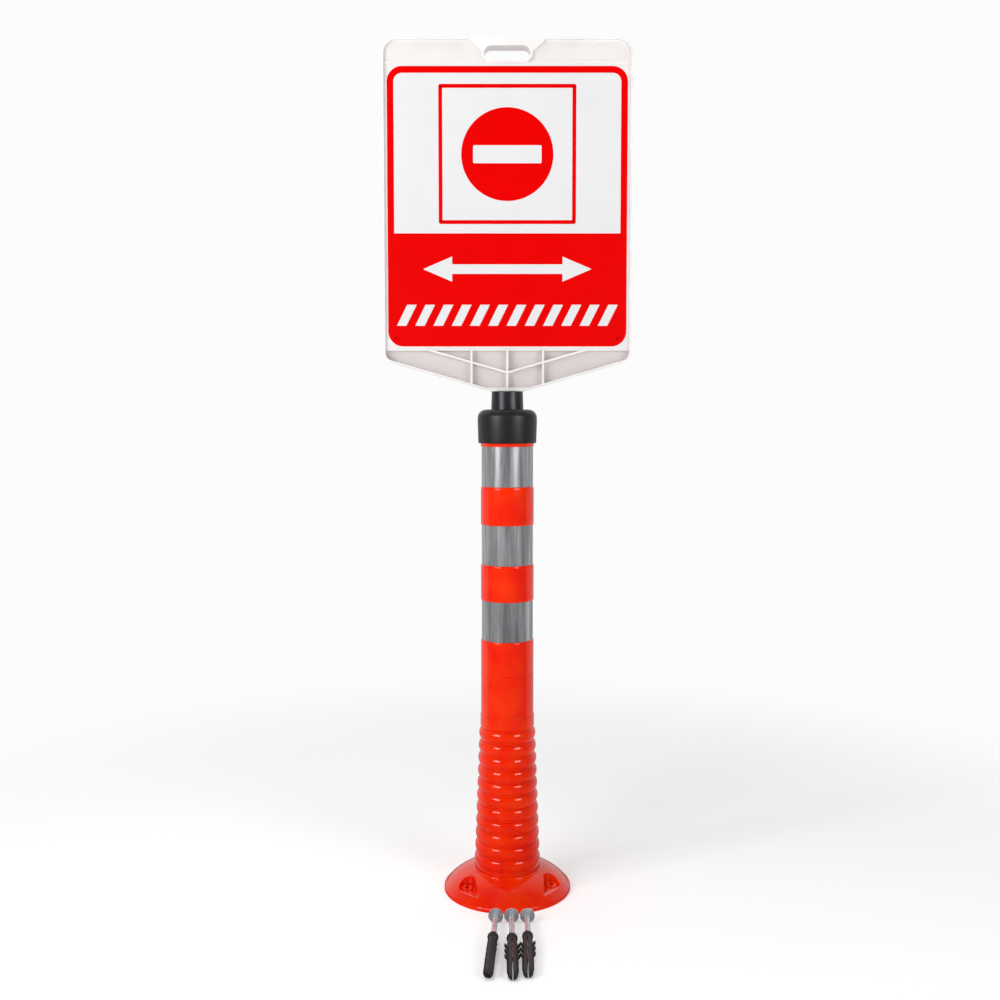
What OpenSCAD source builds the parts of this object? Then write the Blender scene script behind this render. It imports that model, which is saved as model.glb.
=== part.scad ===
// Flexible delineator post with a lift-off sign and its three floor anchors.
// The origin is the middle of the base underside, +Z is up and -Y is the side that the sign faces.

/* [Base] */
// Diameter of the round base
base_d = 200; // [180:1:240]
// Height of the base at its outer edge
base_edge_h = 8; // [6:0.5:9]
// Radius of the base's outer edge
base_edge_r = 5; // [2:0.5:6]
// Height of the base where the column stands on it
base_h = 34.5; // [28:0.5:45]
// How far the sloping top of the base swells above a straight line
base_crown = 4; // [0:0.5:5]
// Width of the flat ledge round the column
ledge_w = 5; // [3:0.5:6]
// Angle by which the base is turned from facing straight ahead
base_turn = 5; // [-20:1:20]
// Height of the floor of the three anchor pockets
pocket_floor_h = 15; // [10:0.5:17]
// Radius of a pocket's closed end, round its hole
pocket_r = 12.5; // [11.5:0.5:14]
// Angle by which each side of a pocket opens outwards
pocket_draft_angle = 5; // [1:0.5:10]
// Depth of the relief moulded into the underside
relief_depth = 4; // [2:0.5:5]
// Thickness of the ribs across the relief
relief_rib_w = 4; // [3:0.5:6]

/* [Anchor holes] */
// Diameter of the circle that the holes lie on
bolt_circle_d = 152; // [146:1:158]
// Diameter of a hole
bolt_hole_d = 9; // [8.5:0.5:12]
// Diameter of the raised seat round a hole
bolt_seat_d = 18; // [14:0.5:22]
// Height of the raised seat above the pocket floor
bolt_seat_h = 2; // [1:0.5:3]

/* [Ribbed column] */
// Ribs below the middle rib, and again above it
rib_side_count = 5; // [3:1:7]
// Height of one rib with its valley
rib_pitch = 20; // [16:0.5:24]
// Height of a rib above its valley
rib_depth = 4.5; // [2:0.25:6]
// Growth in diameter from the highest rib to the lowest
column_flare = 16; // [8:1:24]
// Height of the plain collar between the base and the lowest rib
collar_h = 6.5; // [4:0.5:14]
// Wall thickness of the column in its valleys
column_wall = 5; // [4:0.25:7]

/* [Post tube] */
// Diameter of the raised orange bands
tube_d = 82.5; // [76:0.5:90]
// Wall thickness behind the reflective bands
tube_wall = 4; // [3:0.25:6]
// Height of the wide shoulder above the ribs
shoulder_h = 19; // [12:1:28]
// Height from the shoulder to the fine groove
groove_rise = 66; // [40:1:90]
// Height from the fine groove to the lowest reflective band
plain_h = 54; // [30:1:80]
// Width of the fine groove
groove_w = 1.2; // [0.8:0.1:2]
// Depth of the fine groove
groove_depth = 0.8; // [0.4:0.1:1.2]

/* [Reflective bands] */
// Height of one reflective band
band_h = 62; // [50:1:75]
// Height of the raised orange band between the two lower ones
gap_lower_h = 56; // [40:1:70]
// Height of the raised orange band between the two upper ones
gap_upper_h = 59; // [40:1:70]
// Height of the orange ring that shows below the cap
top_ring_h = 5; // [3:0.5:10]
// Thickness of the reflective film
film_t = 0.4; // [0.3:0.1:0.6]
// How far the film lies below the raised orange bands
film_recess = 1.2; // [0.8:0.1:2]

/* [Adapter] */
// Widest diameter of the rubber cap
cap_d = 92; // [91:0.5:100]
// Height of the cap above its lower edge
cap_h = 52; // [46:1:60]
// Thickness of the cap's top
cap_roof_t = 5; // [4:0.5:7]
// Radius of the cap's shoulder
cap_shoulder_r = 13; // [8:0.5:15]
// Diameter of the neck at its top
neck_d = 48.4; // [40:0.2:52]
// Height of the neck above the cap
neck_h = 28; // [20:1:40]
// Depth of the socket in the neck
socket_depth = 90; // [60:1:110]
// Depth that the neck's plug reaches into the tube
plug_depth = 18; // [10:1:25]

/* [Sign board] */
// Width of the sign
sign_w = 380; // [340:5:420]
// Height of the sign from its tip
sign_h = 531; // [480:1:580]
// Depth of the sign from front to back
sign_depth = 26; // [26:0.5:34]
// Wall thickness of the rim
rim_w = 3; // [2.4:0.1:4]
// Thickness of the panel and of the web below it
skin_t = 3; // [2:0.1:3.5]
// How far the panel lies behind the front of the rim
panel_recess = 3.5; // [2.5:0.1:5]
// How far the web in the lower field lies behind the front of the rim
field_recess = 10; // [9:0.5:12]
// Width of the flat tip on the neck
tip_w = 49; // [40:1:60]
// Thickness of the wall at the flat tip
tip_t = 5.5; // [4:0.5:8]
// Angle of the two lower edges
chevron_angle = 16; // [12:0.5:18]
// Height of the panel's lower edge above the tip
panel_z = 62; // [60:1:75]
// Thickness of the ribs
sign_rib_t = 3.2; // [2:0.1:4]
// Spacing of the upright ribs
sign_rib_gap = 55; // [45:1:62]
// Height of the V-shaped rib above the tip, at its middle
vee_z = 27; // [20:1:35]
// Radius of the two upper corners
top_corner_r = 22; // [12:1:30]
// Radius of the two lower corners
low_corner_r = 15; // [8:1:20]
// Diameter of the round spigot in the neck
spigot_d = 24; // [20:0.5:25]

/* [Hand slot] */
// Length of the hand slot
slot_w = 70.6; // [60:0.2:100]
// Height of the hand slot
slot_h = 22.7; // [18:0.1:24]
// Height of the slot's middle below the top of the sign
slot_drop = 23; // [21:0.5:26]
// Wall thickness of the collar round the slot
slot_collar_t = 3; // [2:0.1:4]

/* [Label] */
// Distance of the printed label from either side of the sign
label_side_gap = 7.5; // [6:0.5:30]
// Distance of the label's upper edge from the rib below the hand slot
label_top_gap = 4.2; // [3:0.1:20]
// Height of the label's lower edge above the panel's
label_rise = 6.5; // [5:0.5:10]
// Corner radius of the label
label_r = 23; // [10:1:30]
// Thickness of the label
label_t = 0.3; // [0.2:0.1:0.5]

/* [Anchors] */
// Diameter of the screw's shank
screw_d = 8; // [7:0.5:8]
// Length of the screw below its head
screw_l = 130; // [115:1:135]
// Width of the hexagon head across its flats
head_af = 13; // [12:0.5:16]
// Height of the hexagon head
head_h = 5.5; // [4:0.1:7]
// Diameter of the washer
washer_d = 22; // [20:0.2:22.4]
// Thickness of the washer
washer_t = 2; // [1.5:0.1:3]
// Length of the plastic plug
plug_l = 109; // [105:1:130]
// Diameter of the plug's body
plug_d = 14; // [13:0.1:14.6]
// Diameter of the plug's rounded head
plug_head_d = 16; // [15:0.1:16.4]
// Width over the plug's barbs
plug_barb_w = 22.2; // [19:0.2:22.4]
// Spacing of the anchors that lie side by side
anchor_pitch = 23.2; // [23:0.1:30]
// Distance of the washers in front of the column's axis
anchor_front = 128.5; // [115:0.5:180]
// Bare shank between washer and plug on the left anchor
left_shank_l = 58; // [50:1:64]
// Bare shank between washer and plug on the middle anchor
middle_shank_l = 60; // [50:1:64]
// Bare shank between washer and plug on the right anchor
right_shank_l = 54; // [50:1:64]

/* [Hidden] */
$fn = 96;

// One overrun for every cut that has to pass right through.
over = 1;
// Clearance between pieces that slide into each other.
fit = 0.1;
// Running clearance of the sign's spigot in the neck.
spigot_fit = 0.08;

// Heights, stacked from the floor up.
column_z = base_h + collar_h;
rib_count = 2 * rib_side_count + 1;
column_top_z = column_z + rib_count * rib_pitch;
shoulder_z = column_top_z + shoulder_h;
groove_z = shoulder_z + groove_rise;
band_lower_z = groove_z + plain_h;
band_middle_z = band_lower_z + band_h + gap_lower_h;
band_upper_z = band_middle_z + band_h + gap_upper_h;
cap_z = band_upper_z + band_h + top_ring_h;
cap_top_z = cap_z + cap_h;
roof_z = cap_top_z - cap_roof_t;
// Height of the neck's flange between the tube and the cap's roof.
flange_h = 5;
tube_top_z = roof_z - flange_h;
neck_top_z = cap_top_z + neck_h;

// Radii of the tube, the column and the base, from the tube outwards.
tube_r = tube_d / 2;
// How much wider than the raised bands the shoulder is.
shoulder_step = 1;
shoulder_r = tube_r + shoulder_step;
film_r = tube_r - film_recess;
recess_r = film_r - film_t;
bore_r = recess_r - tube_wall;
// How far the ribs stand out beyond the raised bands.
rib_step = 2.85;
valley_top_r = tube_r + rib_step - rib_depth;
valley_foot_r = valley_top_r + column_flare / 2;
// How far the plain collar stands out beyond the valleys.
collar_step = 2.5;
collar_r = valley_foot_r + collar_step;
column_bore_r = valley_foot_r - column_wall;
base_r = base_d / 2;
ledge_r = collar_r + ledge_w;
// Radius of the ledge's outer edge and height of the collar's bevel.
ledge_edge_r = 2;
collar_bevel_h = 2;

// Share of a rib's height that its rounded part takes; the rest is valley.
rib_round_share = 0.84;
rib_steps = 9;
arc_steps = 8;
crown_steps = 10;
// Where the rounded outer edge of the base hands over to the sloping top.
edge_end_angle = 55;

anchor_count = 3;
sector = 360 / anchor_count;
relief_rib_count = 12;
// Clear widths left inside and outside the relief under the base.
relief_inner_w = 8;
relief_outer_w = 15;

// Small sizes of the tube: the bevel on the edges of its raised bands.
band_bevel = 0.8;

// Small sizes of the cap and neck.
cap_foot_step = 1;
cap_foot_r = 2;
cap_belly_share = 0.62;
neck_foot_step = 0.8;
neck_edge_r = 1.5;
socket_floor_t = 6;
socket_wall = 6;
mouth_bevel = 1;

// Small sizes of the sign.
tip_corner_r = 2;
rib_set_back = 0.5;
cross_rib_t = 2.2;
cross_rib_step = 2;
back_rib_t = 2.4;
back_row_count = 7;
slot_web_w = 23;
spigot_floor_gap = 2;
spigot_bevel = 1.5;
sign_corner_steps = 8;

// Small sizes of the anchors.
head_sides = 6;
washer_hole_gap = 0.4;
thread_core_d = 6;
thread_pitch = 5;
screw_point_l = 9;
screw_point_d = 1.6;
shank_lengths = [left_shank_l, middle_shank_l, right_shank_l];
// Yaw of each anchor on the floor, and its roll about its own axis.
yaw_angles = [-3, 0.4, -0.6];
roll_angles = [52, 0, 4];
// How far the middle anchor lies to the right of the column's axis, as a share of their spacing.
anchor_shift_share = 0.27;
plug_bore_gap = 0.15;
// Length left in the bore beyond the screw's point.
plug_bore_end = 3;
// The plug's head is a flattened ball on a narrow waist.
plug_head_l = 14;
plug_ball_z = 6.6;
plug_waist_d = 12;
plug_waist_l = 5;
plug_tip_r = 5.6;
// The slit starts straight, runs in a zigzag and widens between the two legs.
plug_slit_z = 20;
plug_slit_w = 1.4;
plug_zigzag_z = 31;
plug_zigzag_swing = 1.1;
plug_zigzag_pitch = 10.5;
plug_zigzag_count = 4;
plug_gap_w = 2.4;
plug_gap_z = 86;
// Three pairs of barbs, and the small teeth that follow them towards the tip.
barb_count = 3;
plug_barb_z = 25;
plug_barb_l = 11;
plug_barb_t = 5;
plug_barb_pitch = 14.5;
plug_barb_tip_w = 1.4;
plug_barb_root_l = 5;
plug_barb_sink = 2;
tooth_count = 4;
plug_tooth_z = 70;
plug_tooth_step = 1.2;
plug_tooth_pitch = 7.4;

// Points along an arc about centre, from one angle to another.
function arc(centre, radius, from, to, steps) =
  [for (i = [0 : steps]) let (a = from + (to - from) * i / steps) centre + radius * [cos(a), sin(a)]];

// Points from p to q along a line that swells sideways by bulge at its middle.
function crowned(p, q, bulge, steps) =
  let (along = (q - p) / norm(q - p), side = [along.y, -along.x])
  [for (i = [1 : steps - 1]) let (t = i / steps) p + (q - p) * t + side * bulge * 4 * t * (1 - t)];

// Direction from one point to another.
function heading(p, q) = (q - p) / norm(q - p);

// A convex outline, drawn anticlockwise, with every side moved inwards by distance.
function inset(points, distance) =
  let (n = len(points))
  [for (i = [0 : n - 1])
    let (
      before = heading(points[(i + n - 1) % n], points[i]),
      after = heading(points[i], points[(i + 1) % n]),
      in_a = [-before.y, before.x],
      in_b = [-after.y, after.x]
    )
    points[i] + (in_a + in_b) * distance / (1 + in_a * in_b)];

// The same outline with a radius at every corner.
function rounded(points, radii, steps) =
  let (n = len(points))
  [for (i = [0 : n - 1])
    let (
      before = heading(points[(i + n - 1) % n], points[i]),
      after = heading(points[i], points[(i + 1) % n]),
      inward = [-before.y, before.x],
      turn = acos(min(1, before * after)),
      centre = points[i] - before * radii[i] * tan(turn / 2) + inward * radii[i],
      start = atan2(-inward.y, -inward.x)
    )
    for (p = arc(centre, radii[i], start, start + turn, steps)) p];

// Radius of the column's valleys and of its bore at a height.
function column_share(z) = (z - column_z) / (column_top_z - column_z);
function valley_r(z) = valley_foot_r + (valley_top_r - valley_foot_r) * column_share(z);
function inner_r(z) = column_bore_r + (bore_r - column_bore_r) * column_share(z);

// Half an ellipse that stands on the valley line: the outline of rib number k.
function rib_points(k) =
  let (middle = column_z + (k + 1 / 2) * rib_pitch, half = rib_pitch * rib_round_share / 2)
  [for (i = [0 : rib_steps])
    let (a = 180 * i / rib_steps, z = middle - half * cos(a))
    [valley_r(z) + rib_depth * sin(a), z]];

// A stretch of ribbed column from rib number first to rib number last.
module ribbed_column(first, last) {
  low = column_z + first * rib_pitch;
  high = column_z + (last + 1) * rib_pitch;
  outline = concat(
    [[inner_r(low), low], [valley_r(low), low]],
    [for (k = [first : last]) for (p = rib_points(k)) p],
    [[valley_r(high), high], [inner_r(high), high]]
  );
  rotate_extrude() polygon(outline);
}

// The pocket for one anchor: a round end about its hole and two sides that open outwards.
module pocket_outline() {
  circle(pocket_r);
  touch = pocket_r * [sin(pocket_draft_angle), cos(pocket_draft_angle)];
  far_x = base_r;
  far_y = pocket_r / cos(pocket_draft_angle) + far_x * tan(pocket_draft_angle);
  polygon([[-touch.x, touch.y], [far_x, far_y], [far_x, -far_y], [-touch.x, -touch.y]]);
}

// Turns to the hole number i, on its circle: the right one, the back one and the left one.
module at_hole(i) {
  rotate(base_turn - 90 + sector / 2 + i * sector) translate([bolt_circle_d / 2, 0, 0]) children();
}

module at_holes() {
  for (i = [0 : anchor_count - 1]) at_hole(i) children();
}

// The three pockets: the two in front open forwards, the one at the back opens backwards.
module pockets() {
  for (i = [0 : anchor_count - 1]) {
    at_hole(i) translate([0, 0, pocket_floor_h]) {
      rotate((i - 1) * sector / 2) linear_extrude(base_h) pocket_outline();
    }
  }
}

// The relief under the base, with its ribs and the pads round the holes left standing.
module underside_relief() {
  difference() {
    translate([0, 0, -over]) {
      rotate_extrude() {
        translate([column_bore_r + relief_inner_w, 0]) {
          square([base_r - relief_outer_w - column_bore_r - relief_inner_w, relief_depth + over]);
        }
      }
    }
    for (i = [0 : relief_rib_count - 1]) {
      rotate(base_turn + (i + 1 / 2) * 360 / relief_rib_count) {
        translate([0, -relief_rib_w / 2, -over]) cube([base_r, relief_rib_w, relief_depth + 2 * over]);
      }
    }
    at_holes() translate([0, 0, -over]) cylinder(d = bolt_seat_d, h = relief_depth + 2 * over);
  }
}

module base_flange() {
  seat_z = pocket_floor_h + bolt_seat_h;
  edge_centre = [base_r - base_edge_r, base_edge_h - base_edge_r];
  edge = arc(edge_centre, base_edge_r, 0, edge_end_angle, arc_steps);
  ledge_centre = [ledge_r - ledge_edge_r, base_h - ledge_edge_r];
  ledge = arc(ledge_centre, ledge_edge_r, edge_end_angle, 90, arc_steps);
  outline = concat(
    [[column_bore_r, 0], [base_r, 0]],
    edge,
    crowned(edge[arc_steps], ledge[0], base_crown, crown_steps),
    ledge,
    [
      [collar_r, base_h],
      [collar_r, column_z - collar_bevel_h],
      [valley_foot_r, column_z],
      [column_bore_r, column_z],
    ]
  );
  color("#f0300f") {
    difference() {
      union() {
        difference() {
          rotate_extrude() polygon(outline);
          pockets();
        }
        at_holes() cylinder(d = bolt_seat_d, h = seat_z);
      }
      at_holes() translate([0, 0, -over]) cylinder(d = bolt_hole_d, h = seat_z + 2 * over);
      underside_relief();
    }
  }
}

module column_lower() {
  color("#f0300f") ribbed_column(0, rib_side_count - 1);
}

module column_ring() {
  color("#f0300f") ribbed_column(rib_side_count, rib_side_count);
}

module column_upper() {
  color("#f0300f") ribbed_column(rib_side_count + 1, rib_count - 1);
}

// The two bevelled edges of the film's recess that starts at height z.
function recess_points(z) = [
  [tube_r, z - band_bevel],
  [tube_r - band_bevel, z],
  [recess_r, z],
  [recess_r, z + band_h],
  [tube_r - band_bevel, z + band_h],
  [tube_r, z + band_h + band_bevel],
];

module post_tube() {
  groove_floor_r = tube_r - groove_depth;
  outline = concat(
    [
      [bore_r, column_top_z],
      [valley_top_r, column_top_z],
      [shoulder_r, column_top_z + collar_bevel_h],
      [shoulder_r, shoulder_z - band_bevel],
      [shoulder_r - band_bevel, shoulder_z],
      [tube_r, shoulder_z],
      [tube_r, groove_z - groove_w / 2],
      [groove_floor_r, groove_z - groove_w / 2],
      [groove_floor_r, groove_z + groove_w / 2],
      [tube_r, groove_z + groove_w / 2],
    ],
    recess_points(band_lower_z),
    recess_points(band_middle_z),
    recess_points(band_upper_z),
    [[tube_r, tube_top_z], [bore_r, tube_top_z]]
  );
  color("#f0300f") rotate_extrude() polygon(outline);
}

// One reflective film, wrapped round the recess that starts at height z.
module film(z) {
  color("#a3a6a8") {
    rotate_extrude() translate([recess_r, z + fit]) square([film_t, band_h - 2 * fit]);
  }
}

module band_lower() {
  film(band_lower_z);
}

module band_middle() {
  film(band_middle_z);
}

module band_upper() {
  film(band_upper_z);
}

module adapter_cap() {
  widest_r = cap_d / 2;
  foot_outer_r = widest_r - cap_foot_step;
  belly_z = cap_z + cap_h * cap_belly_share;
  shoulder_centre = [widest_r - cap_shoulder_r, cap_top_z - cap_shoulder_r];
  hole_r = neck_d / 2 + neck_foot_step + fit;
  outline = concat(
    [[tube_r + fit, cap_z]],
    arc([foot_outer_r - cap_foot_r, cap_z + cap_foot_r], cap_foot_r, -90, 0, arc_steps),
    [[widest_r, belly_z]],
    arc(shoulder_centre, cap_shoulder_r, 0, 90, 2 * arc_steps),
    [[hole_r, cap_top_z], [hole_r, roof_z], [tube_r + fit, roof_z]]
  );
  color("#26262a") rotate_extrude() polygon(outline);
}

module neck_socket() {
  top_r = neck_d / 2;
  socket_r = spigot_d / 2 + spigot_fit;
  floor_z = neck_top_z - socket_depth;
  outline = concat(
    [
      [0, floor_z - socket_floor_t],
      [socket_r + socket_wall, floor_z - socket_floor_t],
      [socket_r + socket_wall, tube_top_z - plug_depth],
      [bore_r - fit, tube_top_z - plug_depth],
      [bore_r - fit, tube_top_z],
      [tube_r, tube_top_z],
      [tube_r, roof_z],
      [top_r + neck_foot_step, roof_z],
      [top_r + neck_foot_step, cap_top_z],
    ],
    arc([top_r - neck_edge_r, neck_top_z - neck_edge_r], neck_edge_r, 0, 90, arc_steps),
    [
      [socket_r + mouth_bevel, neck_top_z],
      [socket_r, neck_top_z - mouth_bevel],
      [socket_r, floor_z],
      [0, floor_z],
    ]
  );
  color("#1d1d20") rotate_extrude() polygon(outline);
}

// Corners of the sign, anticlockwise from the right end of its tip, with the tip at height zero.
side_z = (sign_w - tip_w) / 2 * tan(chevron_angle);
sign_corners = [
  [tip_w / 2, 0],
  [sign_w / 2, side_z],
  [sign_w / 2, sign_h],
  [-sign_w / 2, sign_h],
  [-sign_w / 2, side_z],
  [-tip_w / 2, 0],
];
sign_radii = [tip_corner_r, low_corner_r, top_corner_r, top_corner_r, low_corner_r, tip_corner_r];
slot_z = sign_h - slot_drop;
cross_z = slot_z - slot_h / 2 - slot_collar_t;
front_y = -sign_depth / 2;
back_y = sign_depth / 2;
panel_y = front_y + panel_recess;
web_y = front_y + field_recess;

// Lays an outline upright, with its height along Z, and gives it a depth from one y to another.
module upright(from_y, to_y) {
  translate([0, to_y, 0]) rotate([90, 0, 0]) linear_extrude(to_y - from_y) children();
}

module sign_outline(distance) {
  radii = [for (r = sign_radii) max(r - distance, r / 10)];
  polygon(rounded(inset(sign_corners, distance), radii, sign_corner_steps));
}

// A stadium as long as the hand slot, widened all round by extra.
module slot_outline(extra) {
  r = slot_h / 2 + extra;
  reach = (slot_w - slot_h) / 2;
  translate([0, slot_z]) {
    translate([-reach, -r]) square([2 * reach, 2 * r]);
    for (side = [-1, 1]) translate([side * reach, 0]) circle(r);
  }
}

// The web that carries the slot's collar from the top rim.
module slot_web() {
  half = slot_w / 2;
  polygon([
    [-half, slot_z],
    [half, slot_z],
    [half + slot_web_w, sign_h - rim_w],
    [half + slot_web_w, sign_h - rim_w / 2],
    [-half - slot_web_w, sign_h - rim_w / 2],
    [-half - slot_web_w, sign_h - rim_w],
  ]);
}

// The part of the sign between two heights, edge to edge.
module height_range(low, high) {
  translate([-sign_w / 2, low]) square([sign_w, high - low]);
}

// Upright ribs, spaced evenly from the middle, count of them on each side.
module upright_ribs(count, thickness) {
  for (i = [-count : count]) {
    translate([i * sign_rib_gap - thickness / 2, 0]) square([thickness, sign_h]);
  }
}

// The V-shaped rib that runs above the two lower edges.
module vee_rib() {
  reach = sign_w / 2;
  rise = reach * tan(chevron_angle);
  thickness = sign_rib_t / cos(chevron_angle);
  polygon([
    [0, vee_z],
    [reach, vee_z + rise],
    [reach, vee_z + rise + thickness],
    [0, vee_z + thickness],
    [-reach, vee_z + rise + thickness],
    [-reach, vee_z + rise],
  ]);
}

// Level ribs across the back of the panel.
module back_rows() {
  spacing = (cross_z - panel_z) / back_row_count;
  for (i = [1 : back_row_count - 1]) {
    height_range(panel_z + i * spacing - back_rib_t / 2, panel_z + i * spacing + back_rib_t / 2);
  }
}

module sign_moulding() {
  upright_count = floor((sign_w / 2 - rim_w) / sign_rib_gap);
  // The rim, all round and from front to back.
  upright(front_y, back_y) {
    difference() {
      sign_outline(0);
      sign_outline(rim_w);
    }
  }
  // The panel behind the label, up to the top rim, with the slot left open.
  upright(panel_y, panel_y + skin_t) {
    difference() {
      intersection() {
        sign_outline(rim_w / 2);
        height_range(panel_z, sign_h);
      }
      slot_outline(slot_collar_t / 2);
    }
  }
  // The web of the lower field, deeper than the panel.
  upright(web_y, web_y + skin_t) {
    intersection() {
      sign_outline(rim_w / 2);
      height_range(0, panel_z + rim_w / 2);
    }
  }
  // The step between panel and lower field.
  upright(panel_y, back_y - rib_set_back) {
    intersection() {
      sign_outline(rim_w / 2);
      height_range(panel_z, panel_z + rim_w);
    }
  }
  // The thick wall at the tip, and the ribs of the lower field on both of its sides.
  upright(front_y, back_y) {
    intersection() {
      sign_outline(rim_w / 2);
      height_range(0, tip_t);
    }
  }
  upright(front_y + rib_set_back, back_y - rib_set_back) {
    intersection() {
      sign_outline(rim_w / 2);
      height_range(0, panel_z + rim_w / 2);
      union() {
        upright_ribs(1, sign_rib_t);
        vee_rib();
      }
    }
  }
  // The rib grid on the back of the panel.
  upright(panel_y + skin_t / 2, back_y - rib_set_back) {
    intersection() {
      sign_outline(rim_w / 2);
      height_range(panel_z, cross_z + cross_rib_t / 2);
      union() {
        upright_ribs(upright_count, back_rib_t);
        back_rows();
      }
    }
  }
  // The rib below the hand slot.
  upright(panel_y - cross_rib_step, back_y - rib_set_back) {
    intersection() {
      sign_outline(rim_w / 2);
      height_range(cross_z, cross_z + cross_rib_t);
    }
  }
  // The collar round the hand slot, carried by the top rim.
  upright(front_y, back_y) {
    intersection() {
      sign_outline(rim_w / 2);
      union() {
        slot_outline(slot_collar_t);
        slot_web();
      }
    }
  }
}

module sign_board() {
  spigot_l = socket_depth - spigot_floor_gap;
  spigot_r = spigot_d / 2;
  straight_l = spigot_l - spigot_bevel;
  color("#f7f5f3") {
    translate([0, 0, neck_top_z]) {
      difference() {
        sign_moulding();
        upright(front_y - over, back_y + over) slot_outline(0);
      }
      // The spigot, and the boss behind the web that ties it to the sign.
      translate([0, 0, -spigot_l]) cylinder(r1 = spigot_r - spigot_bevel, r2 = spigot_r, h = spigot_bevel);
      translate([0, 0, -straight_l]) cylinder(r = spigot_r, h = straight_l + tip_t / 2);
      intersection() {
        cylinder(r = spigot_r, h = panel_z + rim_w / 2);
        translate([-spigot_r, web_y + skin_t / 2, 0]) cube([spigot_d, spigot_d, panel_z + rim_w]);
      }
    }
  }
}

module sign_label() {
  half = sign_w / 2 - label_side_gap;
  low = panel_z + label_rise;
  high = cross_z - label_top_gap;
  corners = [[half, low], [half, high], [-half, high], [-half, low]];
  radii = [for (corner = corners) label_r];
  color("#e8100c") {
    translate([0, 0, neck_top_z]) {
      upright(panel_y - label_t, panel_y) polygon(rounded(corners, radii, sign_corner_steps));
    }
  }
}

// Lays anchor number i on the floor: its washer stands on its rim and its far end touches down.
module lie_down(i) {
  washer_r = washer_d / 2;
  far_l = shank_lengths[i] + plug_l - plug_tip_r;
  far_r = max(plug_d / 2, plug_barb_w / 2 * sin(roll_angles[i]));
  dip = asin((washer_r - far_r) / far_l);
  translate([(i - 1 + anchor_shift_share) * anchor_pitch, -anchor_front, washer_r]) {
    rotate([dip, 0, yaw_angles[i]]) rotate([90, 0, 0]) rotate(roll_angles[i]) children();
  }
}

// A hexagon-headed screw whose shank starts at the washer's front face.
module anchor_screw(i) {
  head_d = head_af / cos(180 / head_sides);
  thread_z = shank_lengths[i] + plug_head_l;
  point_z = screw_l - washer_t - screw_point_l;
  color("#b9bec4") {
    lie_down(i) {
      translate([0, 0, -washer_t - head_h]) cylinder(d = head_d, h = head_h, $fn = head_sides);
      translate([0, 0, -washer_t - over]) cylinder(d = screw_d, h = thread_z + washer_t + over);
      cylinder(d = thread_core_d, h = point_z);
      translate([0, 0, point_z]) cylinder(d1 = thread_core_d, d2 = screw_point_d, h = screw_point_l);
      for (z = [thread_z : thread_pitch : point_z - thread_pitch]) {
        translate([0, 0, z]) cylinder(d1 = screw_d, d2 = thread_core_d, h = thread_pitch);
      }
    }
  }
}

module anchor_washer(i) {
  color("#c6cbd0") {
    lie_down(i) {
      difference() {
        translate([0, 0, -washer_t]) cylinder(d = washer_d, h = washer_t);
        translate([0, 0, -washer_t - over]) cylinder(d = screw_d + washer_hole_gap, h = washer_t + 2 * over);
      }
    }
  }
}

// The slit that parts the plug into two legs.
module plug_slit() {
  half = plug_slit_w / 2;
  zigzag_end_z = plug_zigzag_z + plug_zigzag_count * plug_zigzag_pitch;
  middle = concat(
    [[0, plug_slit_z]],
    [for (k = [0 : plug_zigzag_count - 1]) [
      (k % 2 - 1 / 2) * plug_zigzag_swing,
      plug_zigzag_z + k * plug_zigzag_pitch,
    ]],
    [[0, zigzag_end_z]]
  );
  last = len(middle) - 1;
  polygon(concat(
    [for (p = middle) p - [half, 0]],
    [[-plug_gap_w / 2, plug_gap_z], [-half, plug_l + over]],
    [[half, plug_l + over], [plug_gap_w / 2, plug_gap_z]],
    [for (k = [last : -1 : 0]) middle[k] + [half, 0]]
  ));
}

// One pair of barbs that lean back towards the head, with their tips at height z.
module barb_pair(z) {
  reach = plug_barb_w / 2;
  root_z = z + plug_barb_l;
  root_x = plug_d / 2 - plug_barb_sink;
  for (side = [-1, 1]) {
    polygon([
      [side * reach, z],
      [side * root_x, root_z + plug_barb_root_l],
      [side * root_x, root_z - plug_barb_root_l / 2],
      [side * (reach - plug_barb_tip_w), z],
    ]);
  }
}

// One pair of small teeth, each a wedge that rises towards the head.
module tooth_pair(z) {
  root_x = plug_d / 2 - plug_barb_sink;
  for (side = [-1, 1]) {
    polygon([
      [side * root_x, z],
      [side * (plug_d / 2 + plug_tooth_step), z],
      [side * plug_d / 2, z + plug_tooth_pitch],
      [side * root_x, z + plug_tooth_pitch],
    ]);
  }
}

module anchor_plug(i) {
  body_r = plug_d / 2;
  ball_r = plug_head_d / 2;
  waist_r = plug_waist_d / 2;
  outline = concat(
    [[0, 0]],
    arc([0, plug_ball_z], ball_r, -asin(plug_ball_z / ball_r), acos(waist_r / ball_r), crown_steps),
    [[waist_r, plug_head_l], [body_r, plug_head_l + plug_waist_l]],
    arc([body_r - plug_tip_r, plug_l - plug_tip_r], plug_tip_r, 0, 90, arc_steps),
    [[0, plug_l]]
  );
  bore_l = screw_l - washer_t - min(shank_lengths) + plug_bore_end;
  color("#3a3739") {
    lie_down(i) translate([0, 0, shank_lengths[i]]) {
      difference() {
        union() {
          rotate_extrude() polygon(outline);
          translate([0, plug_barb_t / 2, 0]) rotate([90, 0, 0]) linear_extrude(plug_barb_t) {
            for (k = [0 : barb_count - 1]) barb_pair(plug_barb_z + k * plug_barb_pitch);
            for (k = [0 : tooth_count - 1]) tooth_pair(plug_tooth_z + k * plug_tooth_pitch);
          }
        }
        translate([0, 0, -over]) cylinder(d = screw_d + 2 * plug_bore_gap, h = bore_l + over);
        translate([0, plug_d, 0]) rotate([90, 0, 0]) linear_extrude(2 * plug_d) plug_slit();
      }
    }
  }
}

module anchor_screw_left() {
  anchor_screw(0);
}

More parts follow.
